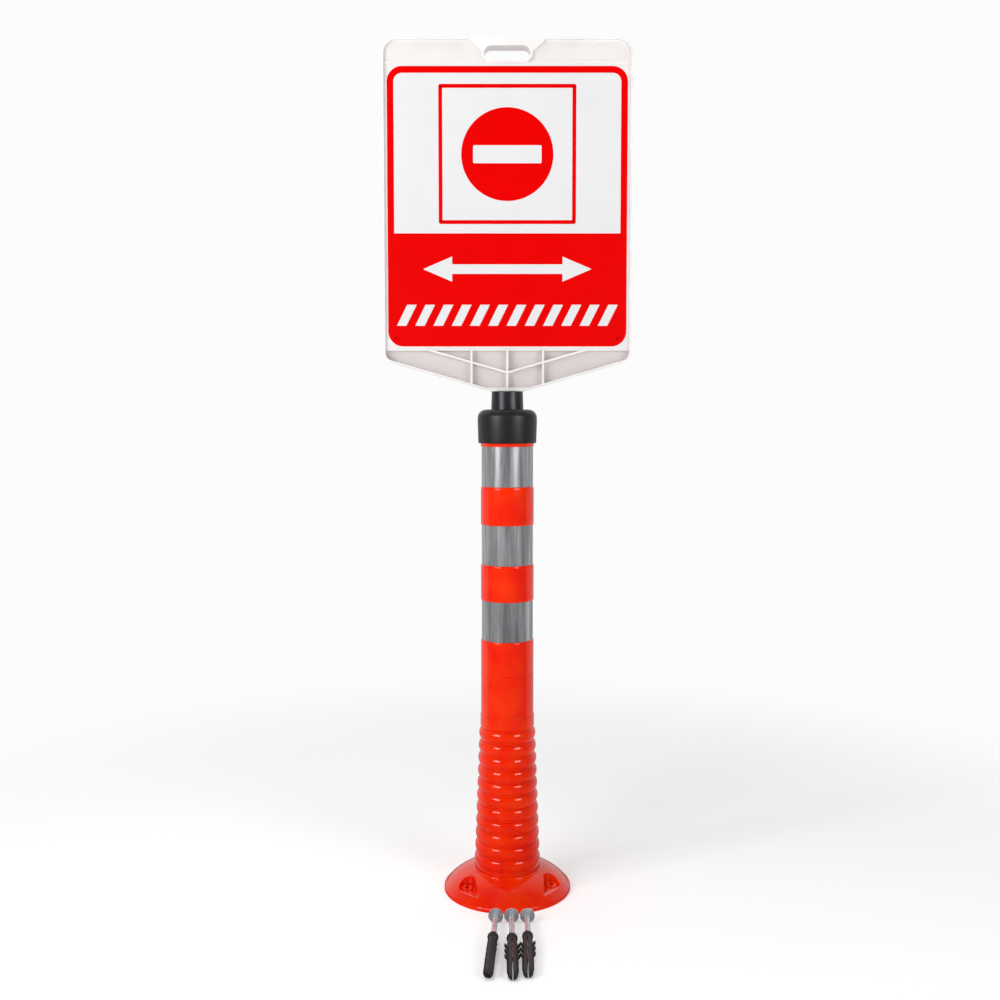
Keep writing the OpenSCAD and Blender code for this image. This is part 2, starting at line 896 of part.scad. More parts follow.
module anchor_screw_middle() {
  anchor_screw(1);
}

module anchor_screw_right() {
  anchor_screw(2);
}

module anchor_washer_left() {
  anchor_washer(0);
}

module anchor_washer_middle() {
  anchor_washer(1);
}

module anchor_washer_right() {
  anchor_washer(2);
}

module anchor_plug_left() {
  anchor_plug(0);
}

module anchor_plug_middle() {
  anchor_plug(1);
}

module anchor_plug_right() {
  anchor_plug(2);
}

base_flange();
column_lower();
column_ring();
column_upper();
post_tube();
band_lower();
band_middle();
band_upper();
adapter_cap();
neck_socket();
sign_board();
sign_label();
anchor_screw_left();
anchor_screw_middle();
anchor_screw_right();
anchor_washer_left();
anchor_washer_middle();
anchor_washer_right();
anchor_plug_left();
anchor_plug_middle();
anchor_plug_right();
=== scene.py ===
"""Looks of a flexible delineator post with a lift-off sign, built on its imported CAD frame."""

import logging
import math
from dataclasses import dataclass
from enum import Enum

import bpy
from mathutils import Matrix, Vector


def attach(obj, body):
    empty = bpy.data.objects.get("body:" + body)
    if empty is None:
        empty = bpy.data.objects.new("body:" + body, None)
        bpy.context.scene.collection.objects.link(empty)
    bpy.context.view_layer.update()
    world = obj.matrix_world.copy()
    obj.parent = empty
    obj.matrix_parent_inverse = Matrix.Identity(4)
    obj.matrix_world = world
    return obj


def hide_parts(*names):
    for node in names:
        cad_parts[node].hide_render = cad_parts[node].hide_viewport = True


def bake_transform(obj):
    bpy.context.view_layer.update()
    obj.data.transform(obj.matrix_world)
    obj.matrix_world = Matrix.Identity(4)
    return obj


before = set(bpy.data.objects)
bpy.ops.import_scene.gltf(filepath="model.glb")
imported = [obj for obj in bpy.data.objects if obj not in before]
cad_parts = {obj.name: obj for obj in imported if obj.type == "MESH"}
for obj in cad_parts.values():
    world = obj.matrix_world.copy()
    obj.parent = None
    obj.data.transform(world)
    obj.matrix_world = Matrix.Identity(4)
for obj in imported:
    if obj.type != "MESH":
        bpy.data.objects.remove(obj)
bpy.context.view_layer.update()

LOG = logging.getLogger("delineator")
MM = 0.001
PHOTO_SIDE = 1000
EDGE_SHARE = 0.48  # A rounding takes no more than this share of an edge.


class Slot(Enum):
    """Names of the record's material slots."""

    ORANGE = "orange_tpu"
    CAP = "cap_rubber"
    SIGN = "sign_plastic"
    LABEL = "label_print"


def linear(colour: str) -> tuple[float, float, float, float]:
    """Turns an sRGB hex colour to linear light.

    Args:
        colour: Six hex digits, such as "f0300f".

    Returns:
        Red, green, blue and an alpha of one.
    """
    shares = [int(colour[i : i + 2], 16) / 255 for i in (0, 2, 4)]
    red, green, blue = (s / 12.92 if s <= 0.04045 else ((s + 0.055) / 1.055) ** 2.4 for s in shares)
    return (red, green, blue, 1.0)


def add_node(
    tree: bpy.types.NodeTree,
    kind: str,
    settings: dict[str | int, object] | None = None,
    links: dict[str | int, bpy.types.NodeSocket] | None = None,
) -> bpy.types.Node:
    """Adds one node with its settings and links.

    Args:
        tree: Node tree that gets the node.
        kind: Blender's name for the kind of node.
        settings: Properties, input values, or "stops" of a colour ramp as (position, linear colour) pairs.
        links: Output sockets for the node's inputs.

    Returns:
        The new node.
    """
    node = tree.nodes.new(kind)
    for name, value in (settings or {}).items():
        if name == "stops":
            ramp = node.color_ramp.elements
            while len(ramp) < len(value):
                ramp.new(0.5)  # The stop's own place follows below.
            for element, (position, colour) in zip(ramp, value):
                element.position = position
                element.color = colour
        elif isinstance(name, str) and hasattr(node, name):
            setattr(node, name, value)
        else:
            node.inputs[name].default_value = value
    for name, socket in (links or {}).items():
        tree.links.new(socket, node.inputs[name])
    return node


class Finish:
    """A real finish. Each kind adds its own pattern to a plain shader."""

    name = "finish"

    def material(self) -> bpy.types.Material:
        """Makes the material once and hands out the same one after that.

        Returns:
            The material of this finish.
        """
        made = bpy.data.materials.get(self.name)
        if made is None:
            made = bpy.data.materials.new(self.name)
            made.use_nodes = True
            tree = made.node_tree
            tree.nodes.clear()
            shader = add_node(tree, "ShaderNodeBsdfPrincipled")
            add_node(tree, "ShaderNodeOutputMaterial", links={"Surface": shader.outputs[0]})
            place = add_node(tree, "ShaderNodeTexCoord").outputs["Object"]
            self.dress(tree, shader, place)
        return made

    def dress(self, tree: bpy.types.NodeTree, shader: bpy.types.Node, place: bpy.types.NodeSocket) -> None:
        """Adds the finish's colour, gloss and relief.

        Args:
            tree: The material's node tree.
            shader: Its surface shader.
            place: Object coordinates, in metres.
        """
        raise NotImplementedError


@dataclass(frozen=True)
class GlossyMouldedUrethane(Finish):
    """Flexible polyurethane, injection moulded in polished tools: wet gloss over a strong orange-red."""

    name: str = "glossy_moulded_orange_urethane"
    colour: str = "fd3400"
    deep_colour: str = "f61d00"
    cloud_mm: float = 45.0
    ripple_mm: float = 9.0
    ripple_depth_mm: float = 0.2
    scuff_mm: float = 2.2
    polished: float = 0.09
    scuffed: float = 0.20
    refraction: float = 1.5
    mirror_level: float = 0.4
    skin_weight: float = 0.45
    skin_roughness: float = 0.08

    def dress(self, tree: bpy.types.NodeTree, shader: bpy.types.Node, place: bpy.types.NodeSocket) -> None:
        """Clouds the pigment a little, ripples the skin, and dulls it with fine scuffs.

        Args:
            tree: The material's node tree.
            shader: Its surface shader.
            place: Object coordinates, in metres.
        """
        clouds = add_node(
            tree, "ShaderNodeTexNoise", {"Scale": 1 / (self.cloud_mm * MM), "Detail": 3.0}, {"Vector": place}
        )
        colours = add_node(
            tree,
            "ShaderNodeValToRGB",
            {"stops": [(0.35, linear(self.deep_colour)), (0.65, linear(self.colour))]},
            {"Fac": clouds.outputs["Fac"]},
        )
        drawn = add_node(tree, "ShaderNodeMapping", {"Scale": (1.0, 1.0, 3.0)}, {"Vector": place})
        scuffs = add_node(
            tree,
            "ShaderNodeTexNoise",
            {"Scale": 1 / (self.scuff_mm * MM), "Detail": 5.0, "Roughness": 0.7},
            {"Vector": drawn.outputs["Vector"]},
        )
        gloss = add_node(
            tree,
            "ShaderNodeMapRange",
            {"From Min": 0.35, "From Max": 0.75, "To Min": self.polished, "To Max": self.scuffed},
            {"Value": scuffs.outputs["Fac"]},
        )
        ripples = add_node(
            tree, "ShaderNodeTexNoise", {"Scale": 1 / (self.ripple_mm * MM), "Detail": 2.0}, {"Vector": place}
        )
        relief = add_node(
            tree,
            "ShaderNodeBump",
            {"Strength": 0.12, "Distance": self.ripple_depth_mm * MM},
            {"Height": ripples.outputs["Fac"]},
        )
        shader.inputs["IOR"].default_value = self.refraction
        shader.inputs["Specular IOR Level"].default_value = self.mirror_level
        shader.inputs["Coat Weight"].default_value = self.skin_weight
        shader.inputs["Coat Roughness"].default_value = self.skin_roughness
        tree.links.new(colours.outputs["Color"], shader.inputs["Base Color"])
        tree.links.new(gloss.outputs["Result"], shader.inputs["Roughness"])
        tree.links.new(relief.outputs["Normal"], shader.inputs["Coat Normal"])
        tree.links.new(relief.outputs["Normal"], shader.inputs["Normal"])


@dataclass(frozen=True)
class SilverReflectiveFilm(Finish):
    """Glass-bead film laid on by hand: a dull silver with faint upright pulls from the wrapping."""

    name: str = "silver_reflective_film"
    light: str = "d2d3d5"
    dark: str = "98999c"
    pull_mm: float = 9.0
    pull_depth_mm: float = 0.7
    pull_squeeze: float = 0.06
    bead_mm: float = 0.5
    bead_depth_mm: float = 0.1
    metallic: float = 0.6
    roughness: float = 0.24

    def dress(self, tree: bpy.types.NodeTree, shader: bpy.types.Node, place: bpy.types.NodeSocket) -> None:
        """Draws the upright pulls in colour and relief, and the grain of the beads in relief alone.

        Args:
            tree: The material's node tree.
            shader: Its surface shader.
            place: Object coordinates, in metres.
        """
        drawn = add_node(
            tree, "ShaderNodeMapping", {"Scale": (1.0, 1.0, self.pull_squeeze)}, {"Vector": place}
        )
        pulls = add_node(
            tree,
            "ShaderNodeTexNoise",
            {"Scale": 1 / (self.pull_mm * MM), "Detail": 4.0, "Roughness": 0.6},
            {"Vector": drawn.outputs["Vector"]},
        )
        colours = add_node(
            tree,
            "ShaderNodeValToRGB",
            {"stops": [(0.38, linear(self.dark)), (0.64, linear(self.light))]},
            {"Fac": pulls.outputs["Fac"]},
        )
        beads = add_node(
            tree, "ShaderNodeTexNoise", {"Scale": 1 / (self.bead_mm * MM), "Detail": 2.0}, {"Vector": place}
        )
        grain = add_node(
            tree,
            "ShaderNodeBump",
            {"Strength": 0.25, "Distance": self.bead_depth_mm * MM},
            {"Height": beads.outputs["Fac"]},
        )
        relief = add_node(
            tree,
            "ShaderNodeBump",
            {"Strength": 0.7, "Distance": self.pull_depth_mm * MM},
            {"Height": pulls.outputs["Fac"], "Normal": grain.outputs["Normal"]},
        )
        shader.inputs["Metallic"].default_value = self.metallic
        shader.inputs["Roughness"].default_value = self.roughness
        tree.links.new(colours.outputs["Color"], shader.inputs["Base Color"])
        tree.links.new(relief.outputs["Normal"], shader.inputs["Normal"])


@dataclass(frozen=True)
class MouldedBlack(Finish):
    """A black moulding: rubber with a satin bloom, or harder plastic with drawn marks from its tool."""

    name: str = "satin_black_rubber"
    colour: str = "1c1c1f"
    pale_colour: str = "2c2c30"
    dull: float = 0.44
    shiny: float = 0.34
    grain_mm: float = 1.6
    grain_depth_mm: float = 0.2
    upright_squeeze: float = 1.0

    def dress(self, tree: bpy.types.NodeTree, shader: bpy.types.Node, place: bpy.types.NodeSocket) -> None:
        """Breaks up colour and gloss with one grain, drawn out upright where the tool left marks.

        Args:
            tree: The material's node tree.
            shader: Its surface shader.
            place: Object coordinates, in metres.
        """
        drawn = add_node(
            tree, "ShaderNodeMapping", {"Scale": (1.0, 1.0, self.upright_squeeze)}, {"Vector": place}
        )
        grain = add_node(
            tree,
            "ShaderNodeTexNoise",
            {"Scale": 1 / (self.grain_mm * MM), "Detail": 5.0, "Roughness": 0.65},
            {"Vector": drawn.outputs["Vector"]},
        )
        colours = add_node(
            tree,
            "ShaderNodeValToRGB",
            {"stops": [(0.4, linear(self.colour)), (0.75, linear(self.pale_colour))]},
            {"Fac": grain.outputs["Fac"]},
        )
        gloss = add_node(
            tree,
            "ShaderNodeMapRange",
            {"From Min": 0.35, "From Max": 0.7, "To Min": self.shiny, "To Max": self.dull},
            {"Value": grain.outputs["Fac"]},
        )
        relief = add_node(
            tree,
            "ShaderNodeBump",
            {"Strength": 0.3, "Distance": self.grain_depth_mm * MM},
            {"Height": grain.outputs["Fac"]},
        )
        tree.links.new(colours.outputs["Color"], shader.inputs["Base Color"])
        tree.links.new(gloss.outputs["Result"], shader.inputs["Roughness"])
        tree.links.new(relief.outputs["Normal"], shader.inputs["Normal"])


@dataclass(frozen=True)
class PaleMoulding(Finish):
    """White polypropylene or a printed film on it: an even colour with a soft sheen and a faint dapple."""

    name: str = "white_moulded_polypropylene"
    colour: str = "f0eeed"
    shade_colour: str = "e9e5e3"
    # deep_colour is the painted shade laid on the deep fields of the front, from deep_from_mm to deep_to_mm.
    deep_colour: str = "d8d1cf"
    deep_from_mm: float = -12.5
    deep_to_mm: float = -3.5
    cloud_mm: float = 60.0
    dapple_mm: float = 3.0
    dapple_depth_mm: float = 0.05
    roughness: float = 0.38
    shinier_by: float = 0.05
    duller_by: float = 0.07
    mirror_level: float = 0.35

    def dress(self, tree: bpy.types.NodeTree, shader: bpy.types.Node, place: bpy.types.NodeSocket) -> None:
        """Clouds the colour, greys the deep fields of the front with painted shade, and dapples the surface
        finely.

        Args:
            tree: The material's node tree.
            shader: Its surface shader.
            place: Object coordinates, in metres.
        """
        clouds = add_node(
            tree, "ShaderNodeTexNoise", {"Scale": 1 / (self.cloud_mm * MM), "Detail": 3.0}, {"Vector": place}
        )
        colours = add_node(
            tree,
            "ShaderNodeValToRGB",
            {"stops": [(0.35, linear(self.shade_colour)), (0.6, linear(self.colour))]},
            {"Fac": clouds.outputs["Fac"]},
        )
        # Painted shade: front-facing faces that lie deep behind the rim are greyed towards deep_colour, in
        # place of the shade that falls in these recesses.
        depth = add_node(tree, "ShaderNodeSeparateXYZ", links={0: place}).outputs["Y"]
        painted_shade = add_node(
            tree,
            "ShaderNodeMapRange",
            {"From Min": self.deep_from_mm * MM, "From Max": self.deep_to_mm * MM},
            {"Value": depth},
        )
        normal = add_node(tree, "ShaderNodeTexCoord").outputs["Normal"]
        backward = add_node(tree, "ShaderNodeSeparateXYZ", links={0: normal}).outputs["Y"]
        front = add_node(tree, "ShaderNodeMapRange", {"From Min": 0.3, "From Max": -0.3}, {"Value": backward})
        front_painted_shade = add_node(
            tree,
            "ShaderNodeMath",
            {"operation": "MULTIPLY"},
            {0: painted_shade.outputs["Result"], 1: front.outputs["Result"]},
        )
        painted_shade_colours = add_node(
            tree,
            "ShaderNodeMixRGB",
            {"Color2": linear(self.deep_colour)},
            {"Fac": front_painted_shade.outputs["Value"], "Color1": colours.outputs["Color"]},
        )
        dapple = add_node(
            tree, "ShaderNodeTexNoise", {"Scale": 1 / (self.dapple_mm * MM), "Detail": 3.0}, {"Vector": place}
        )
        sheen = add_node(
            tree,
            "ShaderNodeMapRange",
            {
                "From Min": 0.35,
                "From Max": 0.7,
                "To Min": self.roughness - self.shinier_by,
                "To Max": self.roughness + self.duller_by,
            },
            {"Value": dapple.outputs["Fac"]},
        )
        relief = add_node(
            tree,
            "ShaderNodeBump",
            {"Strength": 0.4, "Distance": self.dapple_depth_mm * MM},
            {"Height": dapple.outputs["Fac"]},
        )
        shader.inputs["Specular IOR Level"].default_value = self.mirror_level
        tree.links.new(painted_shade_colours.outputs["Color"], shader.inputs["Base Color"])
        tree.links.new(sheen.outputs["Result"], shader.inputs["Roughness"])
        tree.links.new(relief.outputs["Normal"], shader.inputs["Normal"])


@dataclass(frozen=True)
class BrightZinc(Finish):
    """Steel with a bright blue-white zinc plating: a clear mirror broken by cloudy patches."""

    name: str = "bright_zinc_plated_steel"
    light: str = "f0f2f6"
    dark: str = "d4d8de"
    cloud_mm: float = 6.0
    bright: float = 0.24
    clouded: float = 0.40
    metallic: float = 0.7

    def dress(self, tree: bpy.types.NodeTree, shader: bpy.types.Node, place: bpy.types.NodeSocket) -> None:
        """Clouds the plating in colour and gloss.

        Args:
            tree: The material's node tree.
            shader: Its surface shader.
            place: Object coordinates, in metres.
        """
        clouds = add_node(
            tree, "ShaderNodeTexNoise", {"Scale": 1 / (self.cloud_mm * MM), "Detail": 4.0}, {"Vector": place}
        )
        colours = add_node(
            tree,
            "ShaderNodeValToRGB",
            {"stops": [(0.35, linear(self.dark)), (0.6, linear(self.light))]},
            {"Fac": clouds.outputs["Fac"]},
        )
        gloss = add_node(
            tree,
            "ShaderNodeMapRange",
            {"From Min": 0.3, "From Max": 0.7, "To Min": self.bright, "To Max": self.clouded},
            {"Value": clouds.outputs["Fac"]},
        )
        shader.inputs["Metallic"].default_value = self.metallic
        tree.links.new(colours.outputs["Color"], shader.inputs["Base Color"])
        tree.links.new(gloss.outputs["Result"], shader.inputs["Roughness"])


ORANGE = GlossyMouldedUrethane()
FILM = SilverReflectiveFilm()
CAP_RUBBER = MouldedBlack()
NECK_PLASTIC = MouldedBlack(
    name="semi_gloss_black_polyamide",
    colour="1f1f24",
    pale_colour="35353b",
    dull=0.36,
    shiny=0.24,
    grain_mm=2.4,
    upright_squeeze=0.05,
)
PLUG_NYLON = MouldedBlack(
    name="dark_grey_moulded_nylon",
    colour="2c2829",
    pale_colour="3a3637",
    dull=0.62,
    shiny=0.5,
    grain_mm=1.2,
)
SIGN_WHITE = PaleMoulding()
# The label films keep the painted shade of the deep fields, in colours close to their own.
LABEL_WHITE = PaleMoulding(
    name="white_vinyl_film",
    colour="e4e3e4",
    shade_colour="e0e0e1",
    deep_colour="e0e0e1",
    dapple_mm=2.0,
    dapple_depth_mm=0.04,
    roughness=0.33,
)
LABEL_RED = PaleMoulding(
    name="red_screen_printed_ink",
    colour="e40101",
    shade_colour="df0101",
    deep_colour="df0101",
    dapple_mm=2.0,
    dapple_depth_mm=0.04,
    roughness=0.33,
    mirror_level=0.08,
)
ZINC = BrightZinc()


class Bench:
    """The modelling bench: the hand operations that the pieces share."""

    MERGE = 0.00001  # Corners of a copied mesh closer than this are one, in metres.
    RING_MERGE = 0.000002  # The same for the rings of a turned piece.
    FLAT_DEG = 0.5  # Faces that turn by less than this are one flat face.
    SHARP_DEG = 30.0  # Edges that turn by more than this are rounded.
    SOFT_DEG = 35.0  # Edges that turn by less than this are shaded smooth.

    @staticmethod
    def clear() -> None:
        """Leaves edit mode and deselects everything."""
        if bpy.context.mode != "OBJECT":
            bpy.ops.object.mode_set(mode="OBJECT")
        bpy.ops.object.select_all(action="DESELECT")

    @staticmethod
    def edit(piece: bpy.types.Object) -> None:
        """Opens one piece in edit mode, with all of it selected.

        Args:
            piece: The piece.
        """
        Bench.clear()
        piece.select_set(True)
        bpy.context.view_layer.objects.active = piece
        bpy.ops.object.mode_set(mode="EDIT")
        bpy.ops.mesh.select_all(action="SELECT")

    @staticmethod
    def settle(piece: bpy.types.Object, smooth_deg: float = SOFT_DEG) -> None:
        """Puts the piece's place in its mesh and shades its soft edges smooth.

        Args:
            piece: The piece that is done.
            smooth_deg: Edges that turn by less than this are shaded smooth.
        """
        Bench.clear()
        piece.select_set(True)
        bpy.context.view_layer.objects.active = piece
        bpy.ops.object.transform_apply(location=True, rotation=True, scale=True)
        bpy.ops.object.shade_smooth_by_angle(angle=math.radians(smooth_deg))

    @staticmethod
    def apply_modifier(piece: bpy.types.Object, kind: str, settings: dict[str, object]) -> None:
        """Adds one modifier and applies it.

        Args:
            piece: The piece that gets it.
            kind: Blender's name for the modifier.
            settings: Its properties.
        """
        Bench.clear()
        piece.select_set(True)
        bpy.context.view_layer.objects.active = piece
        modifier = piece.modifiers.new(kind.lower(), kind)
        for name, value in settings.items():
            setattr(modifier, name, value)
        bpy.ops.object.modifier_apply(modifier=modifier.name)

    @staticmethod
    def turned(name: str, section: list[tuple[float, float]], sides: int = 128) -> bpy.types.Object:
        """Draws a turned piece ring by ring round its wall's section, as on a lathe.

        Args:
            name: Name of the piece.
            section: Radius and height in millimetres, up the outside and back down the inside.
            sides: Sides of each ring.

        Returns:
            The closed piece.
        """
        Bench.clear()
        radius, height = section[0]
        bpy.ops.mesh.primitive_circle_add(vertices=sides, radius=radius * MM, location=(0, 0, height * MM))
        piece = bpy.context.object
        piece.name = name
        bpy.ops.object.transform_apply(location=True)
        Bench.edit(piece)
        for (last_radius, last_height), (radius, height) in zip(section, section[1:] + section[:1]):
            rise = (0, 0, (height - last_height) * MM)
            share = radius / last_radius
            bpy.ops.mesh.extrude_region_move(TRANSFORM_OT_translate={"value": rise})
            bpy.ops.transform.resize(value=(share, share, 1), center_override=(0, 0, height * MM))
        bpy.ops.mesh.select_all(action="SELECT")
        bpy.ops.mesh.remove_doubles(threshold=Bench.RING_MERGE)
        bpy.ops.mesh.normals_make_consistent(inside=False)
        Bench.settle(piece)
        return piece

    @staticmethod
    def softened(node: str, name: str, width_mm: float, smooth_deg: float) -> bpy.types.Object:
        """Copies a CAD node's shape, joins its loose triangles and rounds its sharp edges.

        Args:
            node: The CAD node.
            name: Name of the new piece.
            width_mm: Width of the rounding.
            smooth_deg: Edges that turn by less than this are shaded smooth.

        Returns:
            The piece, which stands for the node.
        """
        Bench.clear()
        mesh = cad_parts[node].data.copy()
        piece = bpy.data.objects.new(name, mesh)
        bpy.context.scene.collection.objects.link(piece)
        Bench.edit(piece)
        bpy.ops.mesh.remove_doubles(threshold=Bench.MERGE)
        bpy.ops.mesh.dissolve_limited(angle_limit=math.radians(Bench.FLAT_DEG))
        Bench.clear()
        piece.select_set(True)
        bpy.context.view_layer.objects.active = piece
        bpy.ops.mesh.customdata_custom_splitnormals_clear()
        Bench.apply_modifier(
            piece,
            "BEVEL",
            {
                "width": width_mm * MM,
                "segments": 2,
                "limit_method": "ANGLE",
                "angle_limit": math.radians(Bench.SHARP_DEG),
                "use_clamp_overlap": True,
            },
        )
        Bench.settle(piece, smooth_deg)
        Bench.apply_modifier(piece, "WEIGHTED_NORMAL", {"keep_sharp": True, "weight": 80})
        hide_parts(node)
        return piece

    @staticmethod
    def dress(piece: bpy.types.Object, finish: Finish, slot: Slot) -> None:
        """Gives a piece its finish.

        Args:
            piece: A new piece.
            finish: Its finish.
            slot: The record's slot; not used.
        """
        piece.data.materials.clear()
        piece.data.materials.append(finish.material())

    @staticmethod
    def dress_node(node: str, finish: Finish) -> None:
        """Gives a CAD node that stays its finish.

        Args:
            node: The CAD node.
            finish: Its finish.
        """
        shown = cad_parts[node]
        if not shown.material_slots:
            shown.data.materials.append(finish.material())
        for place in shown.material_slots:
            place.material = finish.material()


def rounded(corners: list[tuple[float, float, float]], steps: int = 5) -> list[tuple[float, float]]:
    """Rounds the corners of a closed section.

    Args:
        corners: Radius, height and rounding of each corner, in millimetres.
        steps: Steps along each rounding.

    Returns:
        The points of the rounded section.
    """
    points = []
    count = len(corners)
    for i, (radius, height, rounding) in enumerate(corners):
        corner = Vector((radius, height))
        if rounding <= 0:
            points.append((radius, height))
            continue
        before = Vector(corners[(i - 1) % count][:2]) - corner
        after = Vector(corners[(i + 1) % count][:2]) - corner
        half = before.angle(after) / 2
        reach = min(rounding / math.tan(half), EDGE_SHARE * before.length, EDGE_SHARE * after.length)
        start = corner + before.normalized() * reach
        end = corner + after.normalized() * reach
        for k in range(steps + 1):
            t = k / steps
            point = start * (1 - t) ** 2 + corner * 2 * t * (1 - t) + end * t**2
            points.append((point.x, point.y))
    return points


@dataclass
class PostMoulding:
    """The orange moulding: base, ribbed column that bends, and tube. Sizes in millimetres."""

    column_z: float = 41.0
    rib_pitch: float = 20.0
    rib_side_count: int = 5
    rib_depth: float = 4.5
    rib_share: float = 0.84
    rib_steps: int = 16
    valley_foot_r: float = 47.6
    valley_top_r: float = 39.6
    bore_foot_r: float = 42.6
    bore_top_r: float = 35.65
    bore_ring_gap: float = 10.0
    shoulder_r: float = 42.25
    shoulder_z: float = 280.0
    slope_h: float = 2.0
    slope_round: float = 1.2
    step_round: float = 0.3
    groove_z: float = 346.0
    groove_w: float = 1.2
    groove_depth: float = 0.8
    groove_round: float = 0.35
    tube_r: float = 41.25
    recess_r: float = 39.65
    band_zs: tuple[float, ...] = (400.0, 518.0, 639.0)
    band_h: float = 62.0
    edge_h: float = 3.0
    edge_steps: int = 6
    band_round: float = 0.9
    tube_top_z: float = 748.0
    mouth_round: float = 0.5
    tube_sides: int = 144
    base_round: float = 1.0
    base_soft_deg: float = 25.0
    lip_middle_r: float = 52.4
    lip_middle_z: float = 32.6
    lip_round_r: float = 3.2
    lip_start_deg: float = -30.0
    lip_turn_deg: float = 240.0
    lip_steps: int = 24

    @property
    def rib_count(self) -> int:
        """Number of ribs on the column."""
        return 2 * self.rib_side_count + 1

    def rib_z(self, count: float) -> float:
        """Height at which a number of ribs, counted from the foot, ends."""
        return self.column_z + count * self.rib_pitch

    def height_share(self, z: float) -> float:
        """How far up the column a height lies, from zero at its foot to one at its top."""
        return (z - self.column_z) / (self.rib_count * self.rib_pitch)

    def valley_r(self, z: float) -> float:
        """Radius of the valleys at a height."""
        return self.valley_foot_r + (self.valley_top_r - self.valley_foot_r) * self.height_share(z)

    def bore_r(self, z: float) -> float:
        """Radius of the bore at a height."""
        return self.bore_foot_r + (self.bore_top_r - self.bore_foot_r) * self.height_share(z)

    def column_section(self, first: int, last: int) -> list[tuple[float, float]]:
        """Section of a stretch of column, with rings close enough for it to bend.

        Args:
            first: Number of its lowest rib.
            last: Number of its highest rib.

        Returns:
            Radius and height of each point, in millimetres.
        """
        low = self.rib_z(first)
        high = self.rib_z(last + 1)
        half = self.rib_pitch * self.rib_share / 2
        points = [(self.valley_r(low), low)]
        for rib in range(first, last + 1):
            middle = self.rib_z(rib + 0.5)
            for i in range(self.rib_steps + 1):
                turn = math.pi * i / self.rib_steps
                z = middle - half * math.cos(turn)
                points.append((self.valley_r(z) + self.rib_depth * math.sin(turn), z))
        points.append((self.valley_r(high), high))
        steps = int((high - low) / self.bore_ring_gap)
        for i in range(steps + 1):
            z = high - (high - low) * i / steps
            points.append((self.bore_r(z), z))
        return points

    def tube_section(self) -> list[tuple[float, float]]:
        """Draws the tube with its shoulder, groove, raised bands and rounded edges.

        Returns:
            Radius and height of each point, in millimetres.
        """
        half = self.groove_w / 2
        groove_r = self.tube_r - self.groove_depth
        top = self.rib_z(self.rib_count)
        corners = [
            (self.valley_top_r, top, 0.0),
            (self.shoulder_r, top + self.slope_h, self.slope_round),
            (self.shoulder_r, self.shoulder_z, self.band_round),
            (self.tube_r, self.shoulder_z, self.step_round),
            (self.tube_r, self.groove_z - half, self.groove_round),
            (groove_r, self.groove_z - half, 0.0),
            (groove_r, self.groove_z + half, 0.0),
            (self.tube_r, self.groove_z + half, self.groove_round),
        ]
        step = self.tube_r - self.recess_r
        for z in self.band_zs:
            for i in range(self.edge_steps + 1):
                turn = math.pi / 2 * i / self.edge_steps
                edge_z = z - self.edge_h * (1 - math.sin(turn))
                corners.append((self.recess_r + step * math.cos(turn), edge_z, 0.0))
            band_top = z + self.band_h
            corners += [(self.recess_r, band_top, 0.0), (self.tube_r, band_top, self.band_round)]
        corners += [
            (self.tube_r, self.tube_top_z, self.mouth_round),
            (self.bore_top_r, self.tube_top_z, 0.0),
            (self.bore_top_r, top, 0.0),
        ]
        return rounded(corners)

    def lip_section(self) -> list[tuple[float, float]]:
        """Draws the rounded lip at the ledge's edge, which is sunk in the base all round.

        Returns:
            Radius and height of each point, in millimetres.
        """
        points = []
        for i in range(self.lip_steps + 1):
            turn = math.radians(self.lip_start_deg + self.lip_turn_deg * i / self.lip_steps)
            radius = self.lip_middle_r + self.lip_round_r * math.cos(turn)
            points.append((radius, self.lip_middle_z + self.lip_round_r * math.sin(turn)))
        return points

    def build(self) -> None:
        """Makes the five stretches of the moulding and the base's lip, and joins the base, lip, ring and tube
        to their bodies.
        """
        base = Bench.softened("base_flange", "base_moulding", self.base_round, self.base_soft_deg)
        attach(base, "base")
        lip = Bench.turned("base_lip_moulding", self.lip_section())
        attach(lip, "base")
        ribs = self.rib_side_count
        lower = Bench.turned("column_lower_moulding", self.column_section(0, ribs - 1))
        ring = Bench.turned("column_ring_moulding", self.column_section(ribs, ribs))
        upper = Bench.turned("column_upper_moulding", self.column_section(ribs + 1, 2 * ribs))
        tube = Bench.turned("tube_moulding", self.tube_section(), self.tube_sides)
        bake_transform(lower)
        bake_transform(upper)
        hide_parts("column_lower")
        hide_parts("column_upper")
        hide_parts("column_ring")
        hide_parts("post_tube")
        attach(ring, "ring")
        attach(tube, "post")
        for piece in (base, lip, lower, ring, upper, tube):
            Bench.dress(piece, ORANGE, Slot.ORANGE)
            LOG.info("made %s", piece.name)


@dataclass
class ReflectiveBands:
    """The three films wrapped round the tube. Sizes in millimetres."""

    names: tuple[str, ...] = ("band_lower", "band_middle", "band_upper")

    def build(self) -> None:
        """Dresses the films that the CAD gives."""
        for name in self.names:
            Bench.dress_node(name, FILM)
            LOG.info("dressed %s", name)


